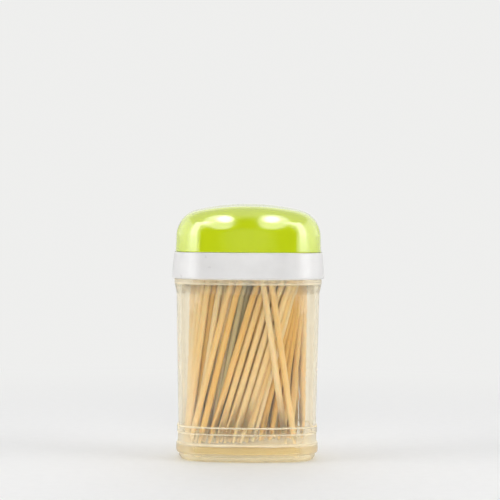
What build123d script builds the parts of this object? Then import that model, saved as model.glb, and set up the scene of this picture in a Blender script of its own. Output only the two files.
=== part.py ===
from build123d import *
from math import asin, degrees, floor, radians, sin, tan
import os

# A table dispenser for toothpicks: a clear jar, a white collar that pulls off its neck, a domed
# lid hinged to the back of the collar, and the toothpicks that stand in the jar.
# Millimetres, +Z up, the front faces -Y, and the origin is under the middle of the jar's foot.

# Plan shared by every level: a rounded rectangle whose four sides bow outwards
plan_half_width = 21.5
plan_half_depth = 16.0
front_bow = 4.2
side_bow = 0.8
corner_radius = 10.0

# Jar, from the foot up. An outset is how far a level stands outside the shared plan.
foot_rim_height = 2.0
foot_rim_outset = -0.95
foot_rim_rounding = 1.7
foot_rim_width = 1.2
foot_recess_depth = 2.2
foot_ring_height = 3.2
foot_ring_outset = -0.12
foot_ring_rounding = 1.0
skirt_height = 2.9
skirt_outset = -0.58
bead_height = 2.1
bead_outset = -0.4
bead_rounding = 0.3
wall_foot_outset = -0.75
wall_top_outset = 0.0
jar_wall = 1.1
floor_thickness = 2.45
floor_rounding = 0.3
flare_height = 3.0
flange_height = 1.3
flange_outset = 0.65
flange_rounding = 0.3
neck_outset = -0.3
neck_wall = 1.0

# Collar
collar_height = 8.0
collar_foot_outset = 1.5
collar_top_outset = 0.8
collar_foot_rounding = 0.7
collar_top_rounding = 0.25
deck_thickness = 1.1
lip_height = 1.0
lip_thickness = 0.95
lip_end_from_hinge = 8.4

# Lid
headroom = 5.5
lid_inset = 0.35
lid_draft = 2.3
lid_wall = 1.3
lid_foot_rounding = 0.25
crown_radius = 67.0
shoulder_rounding = 8.0

# Hinge: two ears on the collar carry the stub pins of the lid's knuckle
barrel_radius = 1.7
knuckle_width = 11.6
ear_width = 2.5
ear_foot_height = 4.7
pin_radius = 0.8

# Toothpicks
toothpick_length = 65.0
tip_rise = 7.6
toothpick_radius = 0.975
toothpick_taper = 5.5
toothpick_end_radius = 0.38
toothpick_pitch = 2.24
toothpick_unevenness = 0.03
toothpick_wave = 2.4
row_pitch = 2.0
first_row_from_wall = 3.65
last_row_from_wall = 5.8

# Rows of toothpicks from the front to the back, each made of one fan or two. A fan gives the places
# of its first foot, last foot, first tip and last tip, from -1 at the left wall to 1 at the right.
row_fans = [
    [(0.82, 1.00, 0.16, 0.34)],
    [(-1.00, -0.85, -0.10, 0.06), (-0.68, -0.12, 0.42, 1.00)],
    [(-1.00, -0.02, -0.56, 1.00)],
    [(-1.00, 0.08, -0.66, 1.00)],
    [(-1.00, 0.20, -0.74, 1.00)],
    [(-1.00, 0.36, -0.78, 1.00)],
    [(-1.00, 0.52, -0.86, 1.00)],
    [(-1.00, 0.72, -0.90, 1.00)],
    [(-1.00, 0.95, -0.96, 1.00)],
    [(-0.97, 1.00, -1.00, 0.96)],
]

# Clearances, and how close to a level counts as on it
level_tolerance = 0.01
slide_clearance = 0.05
face_gap = 0.05
pin_clearance = 0.05
knuckle_gap = 0.15
notch_clearance = 0.3
lip_clearance = 0.3
toothpick_clearance = 0.15
floor_gap = 0.02

# Levels at the foot, from the ground up
ring_foot = foot_rim_height
skirt_foot = ring_foot + foot_ring_height
bead_foot = skirt_foot + skirt_height
wall_foot = bead_foot + bead_height
floor_level = foot_recess_depth + floor_thickness

# Levels set by the toothpicks, which stand on the floor and rise above the collar's deck
deck_level = floor_level + toothpick_length - tip_rise
deck_underside = deck_level - deck_thickness
neck_top = deck_underside - face_gap
neck_foot = deck_level - collar_height
collar_foot = neck_foot + face_gap
flange_foot = neck_foot - flange_height
flare_foot = flange_foot - flare_height
lid_foot = deck_level + face_gap
lid_top = lid_foot + tip_rise + headroom + lid_wall
hinge_level = deck_level + barrel_radius + knuckle_gap

# Outsets and places that follow from them
wall_draft = (wall_top_outset - wall_foot_outset) / (flare_foot - wall_foot)
ring_wall_outset = wall_foot_outset - wall_draft * (wall_foot - ring_foot)
cavity_foot_outset = wall_foot_outset - wall_draft * (wall_foot - floor_level) - jar_wall
mouth_outset = neck_outset - neck_wall
bore_outset = neck_outset + slide_clearance
lid_outset = collar_top_outset - lid_inset
lip_outset = lid_outset - lid_wall - lip_clearance
lip_bore_outset = lip_outset - lip_thickness
hinge_depth = plan_half_depth + lid_outset
knuckle_end = knuckle_width / 2
ear_start = knuckle_end + knuckle_gap
ear_end = ear_start + ear_width
notch_end = ear_end + notch_clearance
notch_radius = barrel_radius + notch_clearance


class Plan(BaseSketchObject):
    """The shared plan, grown on every side by an outset."""

    def __init__(self, outset: float, mode: Mode = Mode.ADD):
        half_width = plan_half_width + outset
        half_depth = plan_half_depth + outset
        corner_x = half_width - side_bow
        corner_y = half_depth - front_bow
        with BuildSketch() as plan:
            with BuildLine():
                ThreePointArc((-corner_x, -corner_y), (0, -half_depth), (corner_x, -corner_y))
                ThreePointArc((corner_x, -corner_y), (half_width, 0), (corner_x, corner_y))
                ThreePointArc((corner_x, corner_y), (0, half_depth), (-corner_x, corner_y))
                ThreePointArc((-corner_x, corner_y), (-half_width, 0), (-corner_x, -corner_y))
            make_face()
            fillet(plan.vertices(), radius=corner_radius + outset)
        super().__init__(obj=plan.sketch, mode=mode)


def edges_at(part: Part, level: float) -> ShapeList[Edge]:
    """The edges of a part that lie flat at one level."""
    return part.edges().filter_by_position(Axis.Z, level - level_tolerance, level + level_tolerance)


def rounded_band(outset: float, foot: float, height: float, rounding: float) -> Part:
    """A solid band of the plan with both its outer edges rounded."""
    with BuildPart() as band:
        with BuildSketch(Plane.XY.offset(foot)):
            Plan(outset)
        extrude(amount=height)
        fillet(edges_at(band.part, foot) + edges_at(band.part, foot + height), radius=rounding)
    return band.part


def dome(inset: float) -> Part:
    """The lid's outer form, or its hollow when inset by the wall."""
    foot = lid_foot - inset
    ceiling = lid_top - inset
    loft_top = lid_top + lid_wall
    narrowing = (loft_top - foot) * tan(radians(lid_draft))
    with BuildPart() as form:
        with BuildSketch(Plane.XY.offset(foot)):
            Plan(lid_outset - inset)
        with BuildSketch(Plane.XY.offset(loft_top)):
            Plan(lid_outset - inset - narrowing)
        loft(ruled=True)
        with Locations((0, 0, ceiling - crown_radius + inset)):
            Sphere(crown_radius - inset, mode=Mode.INTERSECT)
        crown = form.faces().sort_by(Axis.Z)[-1]
        fillet(crown.edges(), radius=shoulder_rounding - inset)
    return form.part


def room(outset: float, depth: float) -> float:
    """Half the width of the plan along a line at one depth."""
    line = Edge.make_line((-2 * plan_half_width, depth), (2 * plan_half_width, depth))
    chords = Plan(outset).face().intersect(line)
    return chords[0].length / 2


def spread(first: float, last: float, count: int, phase: float) -> list[float]:
    """Places from first to last, slightly uneven between the two ends."""
    if count == 1:
        return [first]
    step = (last - first) / (count - 1)
    inner = [
        first + step * (place + toothpick_unevenness * sin(toothpick_wave * place + phase))
        for place in range(1, count - 1)
    ]
    return [first, *inner, last]


foot_ring = rounded_band(foot_ring_outset, ring_foot, foot_ring_height, foot_ring_rounding)
bead = rounded_band(bead_outset, bead_foot, bead_height, bead_rounding)
lid_form = dome(0)
lid_hollow = dome(lid_wall)

with BuildPart() as jar:
    # Wall from the foot ring to the flare, and the flare out to the flange
    for low, low_outset, high, high_outset in (
        (ring_foot, ring_wall_outset, flare_foot, wall_top_outset),
        (flare_foot, wall_top_outset, flange_foot, flange_outset),
    ):
        with BuildSketch(Plane.XY.offset(low)):
            Plan(low_outset)
        with BuildSketch(Plane.XY.offset(high)):
            Plan(high_outset)
        loft(ruled=True)
    # Flange that carries the collar
    with BuildSketch(Plane.XY.offset(flange_foot)):
        Plan(flange_outset)
    extrude(amount=flange_height)
    fillet(edges_at(jar.part, neck_foot), radius=flange_rounding)
    # Neck
    with BuildSketch(Plane.XY.offset(neck_foot)):
        Plan(neck_outset)
    extrude(amount=neck_top - neck_foot)
    # Foot rim, foot ring, skirt and bead
    with BuildSketch():
        Plan(foot_rim_outset)
    extrude(amount=foot_rim_height)
    fillet(edges_at(jar.part, 0), radius=foot_rim_rounding)
    with BuildSketch(Plane.XY.offset(skirt_foot)):
        Plan(skirt_outset)
    extrude(amount=skirt_height)
    add(foot_ring)
    add(bead)
    # Cavity from the floor to the mouth
    with BuildSketch(Plane.XY.offset(floor_level)):
        Plan(cavity_foot_outset)
    with BuildSketch(Plane.XY.offset(neck_top)):
        Plan(mouth_outset)
    loft(ruled=True, mode=Mode.SUBTRACT)
    fillet(edges_at(jar.part, floor_level), radius=floor_rounding)
    # Recess under the foot
    with BuildSketch():
        Plan(foot_rim_outset - foot_rim_rounding - foot_rim_width)
    extrude(amount=foot_recess_depth, mode=Mode.SUBTRACT)

with BuildPart() as collar:
    # Tapered skirt
    with BuildSketch(Plane.XY.offset(collar_foot)):
        Plan(collar_foot_outset)
    with BuildSketch(Plane.XY.offset(deck_level)):
        Plan(collar_top_outset)
    loft(ruled=True)
    fillet(edges_at(collar.part, collar_foot), radius=collar_foot_rounding)
    fillet(edges_at(collar.part, deck_level), radius=collar_top_rounding)
    # Ears, each with a foot that runs down into the back of the skirt
    ear_front = hinge_depth - barrel_radius
    ear_back = hinge_depth + barrel_radius
    ear_root = plan_half_depth + (bore_outset + collar_top_outset) / 2
    deck_middle = deck_level - deck_thickness / 2
    for start in (-ear_end, ear_start):
        with BuildSketch(Plane.YZ.offset(start)):
            with Locations((hinge_depth, hinge_level)):
                Circle(barrel_radius)
            with BuildLine():
                Polyline(
                    (ear_front, hinge_level),
                    (ear_back, hinge_level),
                    (ear_root, deck_level - ear_foot_height),
                    (ear_root, deck_middle),
                    (ear_front, deck_middle),
                    close=True,
                )
            make_face()
        extrude(amount=ear_width)
    # Bore that slips over the jar's neck, and the opening through the deck
    with BuildSketch(Plane.XY.offset(collar_foot)):
        Plan(bore_outset)
    extrude(amount=deck_underside - collar_foot, mode=Mode.SUBTRACT)
    with BuildSketch(Plane.XY.offset(deck_underside)):
        Plan(lip_bore_outset)
    extrude(amount=deck_thickness, mode=Mode.SUBTRACT)
    # Low lip inside the lid, round the front and the sides only, clear of the lid's swing
    with BuildSketch(Plane.XY.offset(deck_level)):
        Plan(lip_outset)
        Plan(lip_bore_outset, mode=Mode.SUBTRACT)
        with Locations((0, hinge_depth - lip_end_from_hinge)):
            Rectangle(
                2 * plan_half_width,
                plan_half_depth,
                align=(Align.CENTER, Align.MIN),
                mode=Mode.SUBTRACT,
            )
    extrude(amount=lip_height)
    # Holes for the stub pins
    with BuildSketch(Plane.YZ.offset(-ear_end)):
        with Locations((hinge_depth, hinge_level)):
            Circle(pin_radius + pin_clearance)
    extrude(amount=2 * ear_end, mode=Mode.SUBTRACT)

with BuildPart() as lid:
    add(lid_form)
    fillet(edges_at(lid.part, lid_foot), radius=lid_foot_rounding)
    # Knuckle on the back wall, cut flush with the inside by the hollow
    with BuildSketch(Plane.YZ.offset(-knuckle_end)):
        with Locations((hinge_depth, hinge_level)):
            Circle(barrel_radius)
    extrude(amount=knuckle_width)
    add(lid_hollow, mode=Mode.SUBTRACT)
    # Notches in the back wall that clear the ears
    for start in (-notch_end, knuckle_end):
        with BuildSketch(Plane.YZ.offset(start)):
            with Locations((hinge_depth, hinge_level)):
                Circle(notch_radius)
            with Locations((hinge_depth + notch_radius, hinge_level)):
                Rectangle(3 * notch_radius, 2 * notch_radius, align=(Align.MAX, Align.MAX))
        extrude(amount=notch_end - knuckle_end, mode=Mode.SUBTRACT)
    # Stub pins
    with BuildSketch(Plane.YZ.offset(-ear_end)):
        with Locations((hinge_depth, hinge_level)):
            Circle(pin_radius)
    extrude(amount=2 * ear_end)

with BuildPart() as toothpick:
    with BuildSketch(Plane.XZ):
        with BuildLine():
            Polyline(
                (0, 0),
                (toothpick_end_radius, 0),
                (toothpick_radius, toothpick_taper),
                (toothpick_radius, toothpick_length - toothpick_taper),
                (toothpick_end_radius, toothpick_length),
                (0, toothpick_length),
                close=True,
            )
        make_face()
    revolve(axis=Axis.Z)

os.makedirs("parts", exist_ok=True)
jar.part.label = "jar"
collar.part.label = "collar"
lid.part.label = "lid"
export_step(jar.part, "parts/jar.step")
export_step(collar.part, "parts/collar.step")
export_step(lid.part, "parts/lid.step")

# Toothpicks stand on the floor in rows across the jar. In each row the feet keep their order up to
# the tips, a pitch apart or more at both ends, so that no two of them meet.
foot_room = toothpick_clearance + max(
    toothpick_radius - wall_draft * toothpick_taper, floor_rounding + toothpick_end_radius
)
tip_room = toothpick_radius + toothpick_clearance
cavity_half_depth = plan_half_depth + cavity_foot_outset
rows_depth = 2 * cavity_half_depth - first_row_from_wall - last_row_from_wall
row_count = 1 + floor(rows_depth / row_pitch)
for row_number in range(row_count):
    depth = first_row_from_wall - cavity_half_depth + row_number * row_pitch
    foot_reach = room(cavity_foot_outset - foot_room, depth)
    tip_reach = room(lip_bore_outset - tip_room, depth)
    feet = []
    tips = []
    for first_foot, last_foot, first_tip, last_tip in row_fans[min(row_number, len(row_fans) - 1)]:
        foot_span = (last_foot - first_foot) * foot_reach
        tip_span = (last_tip - first_tip) * tip_reach
        count = 1 + floor(min(foot_span, tip_span) / toothpick_pitch)
        feet += spread(first_foot * foot_reach, last_foot * foot_reach, count, row_number)
        tips += spread(first_tip * tip_reach, last_tip * tip_reach, count, 2 * row_number)
    places = []
    for foot_x, tip_x in zip(feet, tips):
        lean = degrees(asin((tip_x - foot_x) / toothpick_length))
        lift = toothpick_end_radius * sin(radians(abs(lean))) + floor_gap
        places.append(Location((foot_x, depth, floor_level + lift), (0, lean, 0)))
    with BuildPart() as row:
        with Locations(*places):
            add(toothpick.part)
    row.part.label = f"toothpick_row_{row_number + 1:02d}"
    export_step(row.part, f"parts/{row.part.label}.step")
    print(row.part.label, "holds", len(places), "toothpicks at depth", round(depth, 2))
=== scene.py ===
# %% [markdown]
# # A table dispenser for toothpicks
# The real object is a clear jar with a white collar, a lime green lid and about a hundred wooden
# toothpicks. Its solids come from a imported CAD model, which is loaded here as a fixed frame and
# is never moved or reshaped. What is left for Blender is everything that makes it look real:
# glassy plastic, gloss, wood grain, light, a floor and a camera.

# %% Load the frame
import math
import random

import bmesh
import bpy
from mathutils import Matrix, Vector


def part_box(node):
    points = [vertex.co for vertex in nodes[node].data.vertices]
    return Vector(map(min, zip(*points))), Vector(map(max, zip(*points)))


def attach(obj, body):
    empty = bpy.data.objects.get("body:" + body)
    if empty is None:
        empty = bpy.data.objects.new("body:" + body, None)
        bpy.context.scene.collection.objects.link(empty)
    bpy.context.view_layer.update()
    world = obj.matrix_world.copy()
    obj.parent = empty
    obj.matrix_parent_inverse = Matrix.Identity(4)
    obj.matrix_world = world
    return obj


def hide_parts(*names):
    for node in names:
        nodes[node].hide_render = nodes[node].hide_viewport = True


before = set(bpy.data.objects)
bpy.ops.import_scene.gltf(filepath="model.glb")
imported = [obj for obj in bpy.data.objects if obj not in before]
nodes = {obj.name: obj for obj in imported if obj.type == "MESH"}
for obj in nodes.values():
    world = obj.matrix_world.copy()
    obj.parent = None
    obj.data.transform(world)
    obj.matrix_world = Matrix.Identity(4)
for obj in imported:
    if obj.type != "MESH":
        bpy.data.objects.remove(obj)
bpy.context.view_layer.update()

# %% [markdown]
# ## Lengths
# Blender works in metres and the object is best thought of in millimetres, so one named factor
# turns the second into the first. The frame knows the box of every node, and so the height at
# which the collar sits on the jar.

# %% Millimetres
MM = 0.001
COLLAR_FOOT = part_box("collar")[0].z / MM
print("The collar sits", round(COLLAR_FOOT, 1), "mm above the floor")

# %% [markdown]
# ## Camera
# The photograph was taken from straight in front with a long lens, level with the lid: the
# toothpicks at the back look hardly smaller than those at the front. A camera 600 mm away with
# a lens of about 143 mm gives the same flat view. It is aimed at the neck of the jar, which puts
# the object in the lower half of the frame and makes the camera look down by little more than
# one degree, and it is rolled by less than half a degree.

# %% Camera
CAMERA_PLACE = Vector((0.5, -600.0, 76.55)) * MM
CAMERA_AIM = Vector((0.5, 0.0, 62.55)) * MM
CAMERA_ROLL = math.radians(0.4)
FOCAL_PIXELS = 1989.0
FRAME_PIXELS = 500.0


def add_camera(place, aim):
    """A camera whose focal length is given in pixels of the frame."""
    data = bpy.data.cameras.new("camera")
    data.lens = data.sensor_width * FOCAL_PIXELS / FRAME_PIXELS
    data.clip_start = 0.01
    data.clip_end = 20.0
    camera = bpy.data.objects.new("camera", data)
    camera.location = place
    level = (aim - place).to_track_quat("-Z", "Y").to_matrix()
    camera.rotation_euler = (level @ Matrix.Rotation(CAMERA_ROLL, 3, "Z")).to_euler()
    bpy.context.scene.collection.objects.link(camera)
    return camera


bpy.context.scene.camera = add_camera(CAMERA_PLACE, CAMERA_AIM)
print("The lens is", round(bpy.context.scene.camera.data.lens, 1), "mm long")

# %% [markdown]
# ## Shader maths in plain Python
# A material is a graph of nodes, and a formula in it soon takes a dozen of them. This small
# class wraps the output of a node, so that `1 - mask * 0.5` in Python adds the Math nodes that
# say the same. Every other kind of node comes from its one method, `node`.


# %% A value in a node tree
class Flow:
    """The output of a shader node, which Python's operators turn into Math nodes."""

    def __init__(self, tree, socket=None):
        self.tree = tree
        self.socket = socket

    def node(self, kind, settings=None, inputs=None, output=0):
        """Adds a node, sets it up, feeds its sockets and gives one of its outputs."""
        made = self.tree.nodes.new(kind)
        for name, value in (settings or {}).items():
            if name == "stops":
                fill_ramp(made.color_ramp, value)
            else:
                setattr(made, name, value)
        for name, value in (inputs or {}).items():
            if isinstance(value, Flow):
                self.tree.links.new(value.socket, made.inputs[name])
            else:
                made.inputs[name].default_value = value
        return Flow(self.tree, made.outputs[output] if made.outputs else None)

    def maths(self, operation, first, second):
        """A Math node on two values, either of which may be a plain number."""
        return self.node("ShaderNodeMath", {"operation": operation}, {0: first, 1: second})

    def __add__(self, other):
        return self.maths("ADD", self, other)

    def __radd__(self, other):
        return self.maths("ADD", other, self)

    def __sub__(self, other):
        return self.maths("SUBTRACT", self, other)

    def __rsub__(self, other):
        return self.maths("SUBTRACT", other, self)

    def __mul__(self, other):
        return self.maths("MULTIPLY", self, other)

    def __rmul__(self, other):
        return self.maths("MULTIPLY", other, self)

    def ramp(self, stops):
        """This value spread over a colour ramp, whose stops are (place, colour) pairs."""
        return self.node("ShaderNodeValToRGB", {"stops": stops}, {0: self})

    def between(self, low, high):
        """0 below low, 1 above high and a smooth rise between them."""
        limits = {"Value": self, "From Min": low, "From Max": high}
        return self.node("ShaderNodeMapRange", {"interpolation_type": "SMOOTHSTEP"}, limits)


def fill_ramp(ramp, stops):
    """Gives a colour ramp its stops. A new ramp has two, and further ones are added."""
    while len(ramp.elements) < len(stops):
        ramp.elements.new(1.0)
    for element, (place, colour) in zip(ramp.elements, stops):
        element.position = place
        element.color = (*colour, 1.0)


def grey(level):
    """The colour of one level in red, green and blue."""
    return (level, level, level)


print("Shader maths is ready")

# %% [markdown]
# Every material below starts in the same way: an empty tree, and coordinates in which a pattern
# can be drawn. Object coordinates are metres measured from the object's own origin, so the
# pattern stays put when the lid opens. They are scaled to millimetres here, so that a noise of
# scale 2 has about two bumps in each millimetre.


# %% An empty material
def new_material(name):
    """A material with an empty node tree, and a Flow to start its nodes from."""
    material = bpy.data.materials.new(name)
    material.use_nodes = True
    material.node_tree.nodes.clear()
    return material, Flow(material.node_tree)


def millimetres(start, stretch=(1.0, 1.0, 1.0)):
    """Object coordinates in millimetres, squeezed along each axis by a factor."""
    place = start.node("ShaderNodeTexCoord", output="Object")
    factors = tuple(factor / MM for factor in stretch)
    return start.node("ShaderNodeVectorMath", {"operation": "MULTIPLY"}, {0: place, 1: factors})


def noise(place, scale, detail=2.0, roughness=0.5):
    """Soft random values round 0.5."""
    settings = {"Vector": place, "Scale": scale, "Detail": detail, "Roughness": roughness}
    return place.node("ShaderNodeTexNoise", None, settings)


def bump(height, distance, strength=1.0):
    """Small relief, with its full depth in millimetres."""
    relief = {"Height": height, "Distance": distance * MM, "Strength": strength}
    return height.node("ShaderNodeBump", None, relief, "Normal")


def finish_material(material, surface, inside=None):
    """Sends a surface, and what fills the inside, to the material's output."""
    ends = {"Surface": surface} if inside is None else {"Surface": surface, "Volume": inside}
    surface.node("ShaderNodeOutputMaterial", None, ends)
    return material


def dress(node, material):
    """Gives a carried-over CAD node its material."""
    nodes[node].data.materials.clear()
    nodes[node].data.materials.append(material)
    print(node, "is finished in", material.name)


print("Materials can be made")

# %% [markdown]
# ## Where the jar is milky
# A clear jar is not equally clear all over. It looks milky where its wall is seen at a slant, as
# at the rounded corners, and low down, near the foot, and the flange under the collar is matt.
# Pale milky lines along its moulded edges are painted highlights, which stand in for the lamps
# mirrored in those edges. All of these could be painted on a map, but each of them follows from
# the height above the floor or from the angle of view, so a height and Layer Weight give the
# share of milk by formula. Heights are in millimetres.

# %% Share of milk and of painted highlights
FLANGE_HEIGHT = 1.3
FLANGE_FOOT = COLLAR_FOOT - FLANGE_HEIGHT
BEAD_TOP = 10.2
BEAD_FOOT = 8.2
RING_TOP = 5.1
LOW_FADE = (4.0, BEAD_TOP + 1.0)
FULL_SLANT = 0.3
SLANT_MILK = 0.2
FLANGE_MILK = 0.2
LOW_MILK = 0.2
# Height, half width and strength of each painted highlight line.
PAINTED_HIGHLIGHT_LINES = (
    (FLANGE_FOOT, 0.4, 0.35),
    (BEAD_TOP, 0.35, 0.5),
    (BEAD_FOOT, 0.35, 0.4),
    (RING_TOP, 0.5, 0.4),
)


def stripe(height, low, high, soft):
    """1 between two heights and 0 beyond them, with a soft start and a soft end."""
    return height.between(low, low + soft) - height.between(high, high + soft)


def milk_and_highlight_share(start, height, matt):
    """How much of the jar's wall is milk or painted highlight, from 0 to 1."""
    slant = start.node("ShaderNodeLayerWeight", None, {"Blend": 0.5}, "Facing")
    low_down = 1.0 - height.between(*LOW_FADE)
    share = slant.between(0.0, FULL_SLANT) * SLANT_MILK + matt * FLANGE_MILK + low_down * LOW_MILK
    # Painted highlights: pale milky lines at the moulded edges, standing in for lamps mirrored
    # there.
    for level, half, strength in PAINTED_HIGHLIGHT_LINES:
        share = share + stripe(height, level - half, level, half) * strength
    return share


print("The jar has", len(PAINTED_HIGHLIGHT_LINES), "pale lines")

# %% [markdown]
# ## Clear plastic for the jar
# The jar is moulded in clear polystyrene, which bends light a little more than glass does. A
# Principled shader with full transmission does that, with a roughness that varies softly,
# because a moulded wall is never quite even, and a very shallow waviness in its normals. Thick
# plastic is slightly yellow, since light loses some of its blue on the way through, and Volume
# Absorption does the same. Real plastic also lets a lamp shine on what is behind it, but a path
# tracer finds that light only by luck. So rays that look for a lamp meet a plain Transparent
# shader instead.

# %% Clear plastic
CLEAR_IOR = 1.58
WARMTH = {"Color": (0.99, 0.80, 0.0, 1.0), "Density": 60.0}
# The colour of the milk, and of the painted highlight lines.
MILK_AND_HIGHLIGHT = (0.98, 0.90, 0.72, 1.0)
LET_THROUGH = (0.97, 0.97, 0.97, 1.0)
FLANGE_SOFTNESS = 0.3


def clear_plastic():
    """The jar's polystyrene: clear and polished, with a matt flange under the collar."""
    material, start = new_material("clear plastic")
    place = millimetres(start)
    height = start.node("ShaderNodeSeparateXYZ", None, {0: place}, "Z")
    waves = noise(place, scale=0.16, detail=1.0)
    haze = noise(place, scale=0.9, detail=3.0)
    matt = stripe(height, FLANGE_FOOT, COLLAR_FOOT, FLANGE_SOFTNESS)
    looks = {
        "Base Color": (0.99, 0.985, 0.98, 1.0),
        "Roughness": 0.01 + haze * 0.03 + matt * 0.14,
        "IOR": CLEAR_IOR,
        "Transmission Weight": 1.0,
        "Normal": bump(waves, distance=0.03, strength=0.15),
    }
    clear = start.node("ShaderNodeBsdfPrincipled", None, looks)
    # This milk also draws the painted highlight lines.
    milk_and_highlight = start.node("ShaderNodeBsdfDiffuse", None, {"Color": MILK_AND_HIGHLIGHT})
    sides = {0: milk_and_highlight_share(start, height, matt), 1: clear, 2: milk_and_highlight}
    wall = start.node("ShaderNodeMixShader", None, sides)
    for_lamps = start.node("ShaderNodeBsdfTransparent", None, {"Color": LET_THROUGH})
    is_shadow = start.node("ShaderNodeLightPath", output="Is Shadow Ray")
    both = start.node("ShaderNodeMixShader", None, {0: is_shadow, 1: wall, 2: for_lamps})
    inside = start.node("ShaderNodeVolumeAbsorption", None, WARMTH)
    return finish_material(material, both, inside)


dress("jar", clear_plastic())

# %% [markdown]
# ## White plastic for the collar
# The collar is opaque white polypropylene with a soft shine. Light goes a little way into it,
# which Subsurface gives. Its roughness and a faint relief vary as on a moulding, and dust and
# handling leave it a touch greyer here and there.


# %% White plastic
def white_plastic():
    """The collar's polypropylene: off-white, semi-gloss."""
    material, start = new_material("white plastic")
    place = millimetres(start)
    clouds = noise(place, scale=0.22, detail=3.0)
    pores = noise(place, scale=5.0, detail=2.0)
    looks = {
        "Base Color": clouds.ramp([(0.3, (0.69, 0.682, 0.674)), (0.7, (0.74, 0.732, 0.724))]),
        "Roughness": 0.24 + clouds * 0.12,
        "Specular IOR Level": 0.95,
        "Subsurface Weight": 0.12,
        "Subsurface Radius": (1.2 * MM, 1.1 * MM, 1.0 * MM),
        "Subsurface Scale": 1.0,
        "Normal": bump(pores, distance=0.01, strength=0.15),
    }
    return finish_material(material, start.node("ShaderNodeBsdfPrincipled", None, looks))


dress("collar", white_plastic())

# %% [markdown]
# ## Lime plastic for the lid
# The lid is the same kind of moulding in a strong yellow green, polished until it mirrors the
# lamps. One glossy layer could be made brighter or sharper but not both, so a coat lies over
# the base. Its high index of refraction makes it mirror strongly even where it is seen straight
# on, and the base has hardly any gloss of its own, which keeps the green deep next to the
# highlights. Hairline rubbing from fingers varies the roughness of the base.


# %% Lime plastic
def lime_plastic():
    """The lid's polypropylene: lime green, glossy."""
    material, start = new_material("lime plastic")
    place = millimetres(start)
    clouds = noise(place, scale=0.12, detail=3.0)
    rubbing = noise(millimetres(start, (0.6, 3.0, 0.9)), scale=2.2, detail=3.0)
    dimples = noise(place, scale=0.5, detail=1.0)
    looks = {
        "Base Color": clouds.ramp([(0.3, (0.55, 0.675, 0.0)), (0.7, (0.58, 0.695, 0.002))]),
        "Roughness": 0.1 + rubbing * 0.1,
        "Specular IOR Level": 0.1,
        "Coat Weight": 1.0,
        "Coat IOR": 2.2,
        "Coat Roughness": 0.12,
        "Normal": bump(dimples, distance=0.02, strength=0.1),
    }
    return finish_material(material, start.node("ShaderNodeBsdfPrincipled", None, looks))


dress("lid", lime_plastic())

# %% [markdown]
# ## Wood for the toothpicks
# Birch toothpicks are cut from one log but no two look alike: some are nearly white, some tan,
# and all have fine fibres that run from end to end. So every toothpick carries three attributes.
# `grain` holds where a point is on the straight stick, in millimetres, moved on by a step for
# each stick, so that each is cut from its own piece of the wood. `tone` is how dark the stick
# is, and a third attribute is 1 on two sticks near the middle, which are painted a dark grey
# olive as painted shade where the front sticks shade them. A little light spreads inside the
# wood, and
# Subsurface keeps the gaps between the toothpicks from turning black.

# %% Toothpick wood
LENGTHWAYS = (1.0, 1.0, 0.035)
FRESH_WOOD = [
    (0.1, (0.92, 0.78, 0.56)),
    (0.4, (0.89, 0.67, 0.36)),
    (0.7, (0.83, 0.53, 0.18)),
    (1.0, (0.70, 0.40, 0.10)),
]
# Painted shade: dark grey olive for two sticks that stand in the shade between the front ones.
PAINTED_SHADE_WOOD = [(0.2, (0.60, 0.53, 0.32)), (0.8, (0.41, 0.34, 0.18))]


def attribute(start, name, output="Fac"):
    """An attribute that the mesh carries."""
    return start.node("ShaderNodeAttribute", {"attribute_name": name}, None, output)


def toothpick_wood():
    """Bare birch: cream to tan, with fine fibres along each stick."""
    material, start = new_material("toothpick wood")
    stretched = {0: attribute(start, "grain", "Vector"), 1: LENGTHWAYS}
    along = start.node("ShaderNodeVectorMath", {"operation": "MULTIPLY"}, stretched)
    bands = noise(along, scale=1.3, detail=2.0)
    fibres = noise(along, scale=3.6, detail=3.0, roughness=0.6)
    flecks = noise(along, scale=2.6, detail=1.0).between(0.66, 0.76)
    tone = attribute(start, "tone")
    depth = tone * 0.75 + bands * 0.5 + fibres * 0.4 + flecks * 0.12 - 0.32
    # The second ramp is painted shade, used where the stick attribute read below is 1.
    colours = {"A": depth.ramp(FRESH_WOOD), "B": depth.ramp(PAINTED_SHADE_WOOD)}
    colours["Factor"] = attribute(start, "greyed")
    looks = {
        "Base Color": start.node("ShaderNodeMix", {"data_type": "RGBA"}, colours, "Result"),
        "Roughness": 0.5 + fibres * 0.2,
        "Specular IOR Level": 0.15,
        "Subsurface Weight": 0.35,
        "Subsurface Radius": (1.5 * MM, 0.9 * MM, 0.4 * MM),
        "Subsurface Scale": 1.0,
        "Normal": bump(fibres + bands, distance=0.06, strength=0.6),
    }
    return finish_material(material, start.node("ShaderNodeBsdfPrincipled", None, looks))


wood = toothpick_wood()
print(wood.name, "is made")

# %% [markdown]
# ## Where the toothpicks stand
# The CAD model already has every toothpick in its place, as plain bars in ten rows. Its mesh is
# loose triangles, so a copy is merged first. Then each bar is one island of joined faces, and
# the middle of its lowest points and of its highest points are its foot and its tip.

# %% Foot and tip of each toothpick
JOINED = 0.0002 * MM
END_DEPTH = 1.0 * MM


def island_from(vert, seen):
    """All the points that are joined to one point through edges."""
    waiting = [vert]
    island = []
    seen.add(vert)
    while waiting:
        here = waiting.pop()
        island.append(here)
        for edge in here.link_edges:
            there = edge.other_vert(here)
            if there not in seen:
                seen.add(there)
                waiting.append(there)
    return island


def middle(points):
    """The middle of the box round some points."""
    low = Vector(map(min, *points))
    high = Vector(map(max, *points))
    return (low + high) / 2


def foot_and_tip(island):
    """The middle of an upright bar's lowest points, and of its highest ones."""
    points = [vert.co for vert in island]
    low = min(point.z for point in points)
    high = max(point.z for point in points)
    foot = middle([point for point in points if point.z < low + END_DEPTH])
    tip = middle([point for point in points if point.z > high - END_DEPTH])
    return foot, tip


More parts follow.
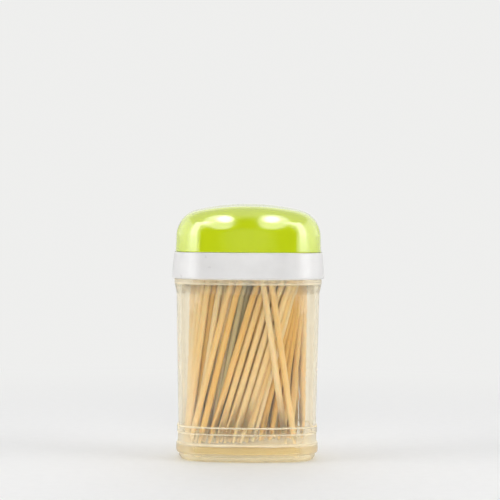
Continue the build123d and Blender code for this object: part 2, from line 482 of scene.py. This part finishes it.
def standing_sticks(node):
    """Foot and tip of every toothpick of a CAD node, from left to right."""
    copy = bmesh.new()
    copy.from_mesh(nodes[node].data)
    bmesh.ops.remove_doubles(copy, verts=copy.verts, dist=JOINED)
    seen = set()
    sticks = [foot_and_tip(island_from(vert, seen)) for vert in copy.verts if vert not in seen]
    copy.free()
    return sorted(sticks, key=lambda stick: stick[0].x)


row_names = sorted(name for name in nodes if name.startswith("toothpick_row"))
rows = {name: standing_sticks(name) for name in row_names}
print("Found", sum(len(sticks) for sticks in rows.values()), "toothpicks in", len(rows), "rows")

# %% [markdown]
# ## Whittling a toothpick
# A real toothpick is milled round and tapers to a blunt point at both ends, but its thickness
# wanders a little along it. A revolved outline could not wander from stick to stick so simply.
# So each one starts as a short cone with closed ends. Its upper face is then extruded again and
# again, moved up and scaled, and a dozen sides are enough. The face that an extrusion starts
# from stays behind as a wall inside the stick. Last, the finished stick is turned and carried
# to its place. Its sizes are in millimetres.

# %% One toothpick
SIDES = 12
THICKEST = 0.975
THINNEST_SHARE = 0.95
WANDER = 0.012
END_RADIUS = 0.38
TAPER = 5.5
TIP_RING = 0.35 * TAPER
SHANK_RINGS = (0.28, 0.45, 0.6, 0.75)


def stations(length, radius, dice):
    """Heights and radii of a stick's rings, from the foot to the tip."""
    shank = [share * length for share in SHANK_RINGS]
    rings = []
    for height in [TIP_RING, TAPER, *shank, length - TAPER, length - TIP_RING, length]:
        to_end = min(height, length - height)
        shape = min(1.0, (END_RADIUS + (radius - END_RADIUS) * to_end / TAPER) / radius)
        rings.append((height, radius * shape * (1.0 + dice.uniform(-WANDER, WANDER))))
    return rings


def whittle(bm, length, radius, dice):
    """Adds one upright stick with its foot at the origin, and gives its points."""
    (height, ring_radius), *others = stations(length, radius, dice)
    first = {"segments": SIDES, "radius1": END_RADIUS, "radius2": ring_radius, "depth": height}
    lift = Matrix.Translation((0, 0, height / 2))
    made = bmesh.ops.create_cone(bm, cap_ends=True, cap_tris=False, matrix=lift, **first)
    verts = made["verts"]
    faces = {face for vert in verts for face in vert.link_faces}
    top = max(faces, key=lambda face: face.calc_center_median().z)
    for next_height, next_radius in others:
        extruded = bmesh.ops.extrude_face_region(bm, geom=[top])["geom"]
        ring = [item for item in extruded if isinstance(item, bmesh.types.BMVert)]
        top = next(item for item in extruded if isinstance(item, bmesh.types.BMFace))
        share = next_radius / ring_radius
        bmesh.ops.scale(bm, vec=(share, share, 1.0), verts=ring)
        bmesh.ops.translate(bm, vec=(0, 0, next_height - height), verts=ring)
        verts += ring
        height, ring_radius = next_height, next_radius
    return verts


def carry(bm, verts, foot, tip, turn):
    """Turns an upright stick in millimetres about itself and sets it between two points."""
    lean = (tip - foot).to_track_quat("Z", "Y").to_matrix().to_4x4()
    place = Matrix.Translation(foot) @ lean @ Matrix.Rotation(turn, 4, "Z") @ Matrix.Scale(MM, 4)
    bmesh.ops.transform(bm, matrix=place, verts=verts)


print("A toothpick has", SIDES, "sides and is", 2 * THICKEST, "mm thick")

# %% [markdown]
# ## The rows
# Each row becomes one piece that stands for its CAD node. The attributes are written while a
# stick is still upright, because that is when a point's place on the stick is its position.
# Near the middle two toothpicks are painted a dark grey olive, as painted shade. They are found
# by how far to the left or right their tips reach, so that no number has to be counted.

# %% Rows of toothpicks
SEED = 11
PATCH = 7.0
USUAL_TONE = 0.4
SHARP_ANGLE = math.radians(40)
# Tips within these spans mark the sticks that are painted dark as shade.
PAINTED_SHADE_TIPS = {
    "toothpicks_03": (-2.0 * MM, 2.0 * MM),
    "toothpicks_04": (2.0 * MM, 4.0 * MM),
}


def lay_row(name, sticks, dice, first_number):
    """One piece with all the toothpicks of a row, in the wood's material."""
    bm = bmesh.new()
    grain = bm.verts.layers.float_vector.new("grain")
    tone = bm.verts.layers.float.new("tone")
    greyed = bm.verts.layers.float.new("greyed")
    low, high = PAINTED_SHADE_TIPS.get(name, (0.0, 0.0))
    for number, (foot, tip) in enumerate(sticks, first_number):
        radius = THICKEST * dice.uniform(THINNEST_SHARE, 1.0 - WANDER)
        verts = whittle(bm, (tip - foot).length / MM, radius, dice)
        shade = dice.triangular(0.0, 1.0, USUAL_TONE)
        for vert in verts:
            # Painted shade: 1 on the sticks whose tips lie within the listed span.
            vert[greyed] = low < tip.x < high
            vert[grain] = vert.co + Vector((number * PATCH, 0, 0))
            vert[tone] = shade
        carry(bm, verts, foot, tip, dice.uniform(0, math.tau))
    mesh = bpy.data.meshes.new(name)
    bmesh.ops.recalc_face_normals(bm, faces=bm.faces)
    bm.to_mesh(mesh)
    bm.free()
    mesh.shade_smooth()
    mesh.set_sharp_from_angle(angle=SHARP_ANGLE)
    mesh.materials.append(wood)
    row = bpy.data.objects.new(name, mesh)
    bpy.context.scene.collection.objects.link(row)
    return row


dice = random.Random(SEED)
count = 0
for node, sticks in rows.items():
    row = lay_row(node.replace("toothpick_row", "toothpicks"), sticks, dice, count)
    count += len(sticks)
    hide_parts(node)
    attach(row, "jar")
    print(row.name, "has", len(sticks), "toothpicks")

# %% [markdown]
# ## Background
# The floor and the world must show one pale colour, or the floor's edge would be a horizon. That
# colour is only for the camera and for what is seen in gloss or through the jar, because a
# world as bright as this would also wash out the object. In gloss the room in front of the
# object is dark, as it is behind a photographer, and this keeps the lid's green deep between
# its highlights. The room's share is worked out from the direction in which a ray leaves.

# %% What the background shows
PALE = (0.86, 0.86, 0.85)
DARK_FRONT = (-0.65, -0.05)
FRONT_SHARE = 0.05


def backdrop(start, direction):
    """Where the pale colour shows, how bright it is there, and the light of the room."""
    kinds = ("Is Camera Ray", "Is Glossy Ray", "Is Transmission Ray")
    camera, gloss, through = (start.node("ShaderNodeLightPath", output=kind) for kind in kinds)
    backwards = start.node("ShaderNodeSeparateXYZ", None, {0: direction}, "Y")
    room = backwards.between(*DARK_FRONT) * (1.0 - FRONT_SHARE) + FRONT_SHARE
    shows = start.maths("MINIMUM", camera + gloss + through, 1.0)
    level = start.maths("MAXIMUM", room, camera + through)
    return shows, level, room


print("The background has the colour", PALE)

# %% [markdown]
# ## Floor
# A small floor would end behind the object and a large one would darken towards the back. This
# one is a wide disc that turns into the background's colour within a third of a metre, while
# lamps and shadows still meet its plain matt surface.

# %% Floor
FLOOR_RADIUS = 3.0
FLOOR_SIDES = 96
PLAIN_WITHIN = 0.07
GONE_BEYOND = 0.32


def pale_floor():
    """A matt pale floor that fades into the world's colour."""
    material, start = new_material("pale floor")
    place = start.node("ShaderNodeTexCoord", output="Object")
    far = start.node("ShaderNodeVectorMath", {"operation": "LENGTH"}, {0: place}, "Value")
    specks = noise(millimetres(start), scale=0.3, detail=3.0)
    tint = specks.ramp([(0.3, grey(0.87)), (0.7, grey(0.89))])
    looks = {"Base Color": tint, "Roughness": 0.7 + specks * 0.1}
    matt = start.node("ShaderNodeBsdfPrincipled", None, looks)
    direction = start.node("ShaderNodeVectorMath", {"operation": "NORMALIZE"}, {0: place})
    shows, level, _ = backdrop(start, direction)
    world = start.node("ShaderNodeEmission", None, {"Color": (*PALE, 1.0), "Strength": level})
    fade = far.between(PLAIN_WITHIN, GONE_BEYOND) * shows
    both = start.node("ShaderNodeMixShader", None, {0: fade, 1: matt, 2: world})
    return finish_material(material, both)


def add_floor():
    """A wide disc under the object."""
    bm = bmesh.new()
    bmesh.ops.create_circle(bm, cap_ends=True, segments=FLOOR_SIDES, radius=FLOOR_RADIUS)
    mesh = bpy.data.meshes.new("floor")
    bm.to_mesh(mesh)
    bm.free()
    mesh.materials.append(pale_floor())
    floor = bpy.data.objects.new("floor", mesh)
    bpy.context.scene.collection.objects.link(floor)
    return floor


add_floor()
print("The floor is", 2 * FLOOR_RADIUS, "m across")

# %% [markdown]
# ## World
# The world is the light that has bounced about the room. It fills shadows softly from all
# round, and less from the dark front.

# %% World
WORLD_LIGHT = 0.43


def pale_world():
    """A soft light from the room, seen as a pale background."""
    world = bpy.data.worlds.new("pale world")
    world.use_nodes = True
    world.node_tree.nodes.clear()
    start = Flow(world.node_tree)
    direction = start.node("ShaderNodeTexCoord", output="Generated")
    shows, level, room = backdrop(start, direction)
    light = {"Color": (*grey(1.0), 1.0), "Strength": room * WORLD_LIGHT}
    lit = start.node("ShaderNodeBackground", None, light)
    shown = {"Color": (*PALE, 1.0), "Strength": level}
    seen = start.node("ShaderNodeBackground", None, shown)
    both = start.node("ShaderNodeMixShader", None, {0: shows, 1: lit, 2: seen})
    start.node("ShaderNodeOutputWorld", None, {"Surface": both})
    return world


bpy.context.scene.world = pale_world()
print("The world shines at", WORLD_LIGHT)

# %% [markdown]
# ## Lamps
# Plain soft light comes from soft boxes, large flat lamps. One set of them could not light the
# wood evenly and also draw the right highlights, but each lamp can be told which surfaces it
# reaches. So the boxes below come in two groups, for matt surfaces and for gloss. None of them
# shows to the camera or through the jar. Places and sizes are in metres.

# %% A soft box
LAMP_AIM = Vector((0.0, 0.0, 40.0)) * MM


def soft_box(name, place, size, radiance, aim=LAMP_AIM, shape="RECTANGLE", gloss=True, matt=True):
    """A flat lamp that faces its aim. As an ellipse it has the power of its whole rectangle."""
    data = bpy.data.lights.new(name, "AREA")
    data.shape = shape
    data.size, data.size_y = size
    data.energy = radiance * size[0] * size[1] * math.pi
    lamp = bpy.data.objects.new(name, data)
    lamp.location = place
    lamp.rotation_euler = (aim - place).to_track_quat("-Z", "Y").to_euler()
    lamp.visible_camera = False
    lamp.visible_glossy = gloss
    lamp.visible_diffuse = matt
    lamp.visible_transmission = False
    bpy.context.scene.collection.objects.link(lamp)
    print(name, "shines at", radiance)


# %% [markdown]
# The boxes for matt surfaces stand at both sides, a little in front, and one each far in front,
# behind and above, so that no side of the object is in the dark.

# %% Light on matt surfaces
# Name, place, width and height, and radiance.
for name, place, size, radiance in (
    ("left_box", (-0.48, -0.17, 0.2), (0.28, 0.55), 2.2),
    ("right_box", (0.48, -0.17, 0.2), (0.28, 0.55), 2.2),
    ("front_box", (0.0, -0.9, 0.16), (0.5, 0.34), 6.8),
    ("back_box", (0.0, 0.9, 0.35), (1.0, 0.6), 1.6),
    ("top_box", (0.0, 0.1, 0.85), (0.9, 0.7), 0.9),
):
    soft_box(name, Vector(place), size, radiance, gloss=False)

# %% [markdown]
# The boxes for gloss are upright and mirror themselves in the rounded corners of the lid, the
# collar and the jar. A tall strip with a brighter core draws the long highlight, a low strip
# carries it down to the foot, and a box further back brightens the outermost rim. A dim one
# behind and above draws the upper edge of the lid.

# %% Upright highlights
STRIP_HEIGHT = 0.4


def level_aim(place):
    """The point of the object's axis that is level with a lamp."""
    return Vector((0.0, 0.0, place.z))


for side, x in (("left", -1), ("right", 1)):
    for part, place, size, radiance in (
        ("strip", Vector((0.42 * x, -0.27, STRIP_HEIGHT)), (0.38, 0.64), 1.1),
        ("strip_core", Vector((0.4 * x, -0.257, STRIP_HEIGHT)), (0.22, 0.62), 2.3),
        ("low_strip", Vector((0.42 * x, -0.27, 0.04)), (0.38, 0.08), 1.5),
        ("rim_box", Vector((0.53 * x, 0.14, 0.32)), (0.6, 0.48), 0.75),
    ):
        soft_box(f"{side}_{part}", place, size, radiance, level_aim(place), matt=False)
behind = Vector((0.0, 0.55, 0.5))
soft_box("top_rim_box", behind, (1.1, 0.5), 0.4, level_aim(behind), matt=False)

# %% [markdown]
# Two round lamps hang over the front, each with a bright middle. They light nothing matt and
# only show as the pair of oval highlights on the lid.

# %% Oval highlights
LID_LEVEL = 0.07
for side, x, middle_x in (("left", -0.225, -0.18), ("right", 0.19, 0.175)):
    for part, place, size, radiance in (
        ("halo", Vector((x, -0.35, 0.56)), (0.24, 0.9), 1.6),
        ("core", Vector((middle_x, -0.28, 0.65)), (0.12, 0.4), 3.8),
    ):
        lid_aim = Vector((place.x, 0.0, LID_LEVEL))
        soft_box(f"{side}_{part}", place, size, radiance, lid_aim, "ELLIPSE", matt=False)

# %% [markdown]
# ## Colours as written
# The Standard view shows a colour as its material says, with no film look over it.

# %% View
bpy.context.scene.view_settings.view_transform = "Standard"
